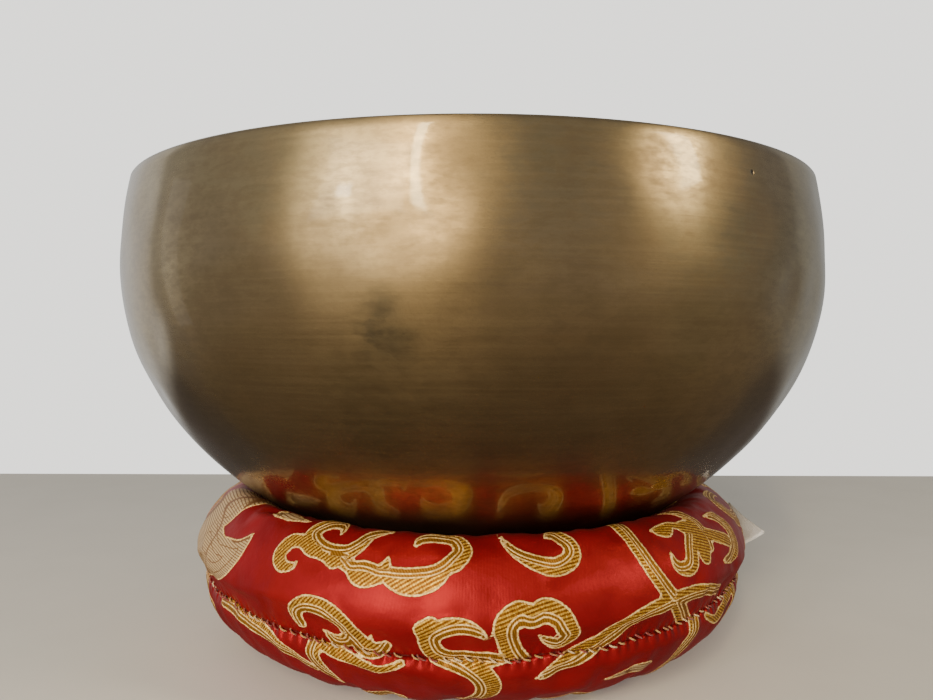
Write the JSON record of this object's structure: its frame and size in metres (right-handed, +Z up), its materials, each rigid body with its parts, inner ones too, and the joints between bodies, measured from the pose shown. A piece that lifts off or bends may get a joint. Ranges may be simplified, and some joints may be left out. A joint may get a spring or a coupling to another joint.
{
  "type": "singing bowl with ring cushion",
  "caption": "Deep round-bellied hammered bronze singing bowl that rests in the dished top of a stuffed brocade ring cushion.",
  "frame": {"origin": "on the surface that the cushion stands on, on the axis of the bowl and of the cushion", "axes": "+Z up along the axis of the bowl, +X towards the woven label, -Y towards the viewer"},
  "size_m": [0.24, 0.24, 0.1512],
  "materials": {
    "bronze": "satin, fine brushed, old patina",
    "brocade": "satin with gold thread scrolls",
    "cotton_stuffing": "loose cotton wadding",
    "sewing_thread": "twisted thread",
    "label_ribbon": "woven satin ribbon"
  },
  "bodies": {
    "cushion": {"cushion_cover_top": "brocade", "cushion_cover_bottom": "brocade", "stuffing_ring": "cotton_stuffing", "outer_seam_thread": "sewing_thread", "inner_seam_thread": "sewing_thread", "woven_label": "label_ribbon"},
    "bowl": {"bowl": "bronze"}
  },
  "joints": [
    {"name": "bowl_lift", "type": "slide", "parent": "cushion", "child": "bowl", "axis": [0, 0, 1], "range_m": [0, 0.15]}
  ]
}
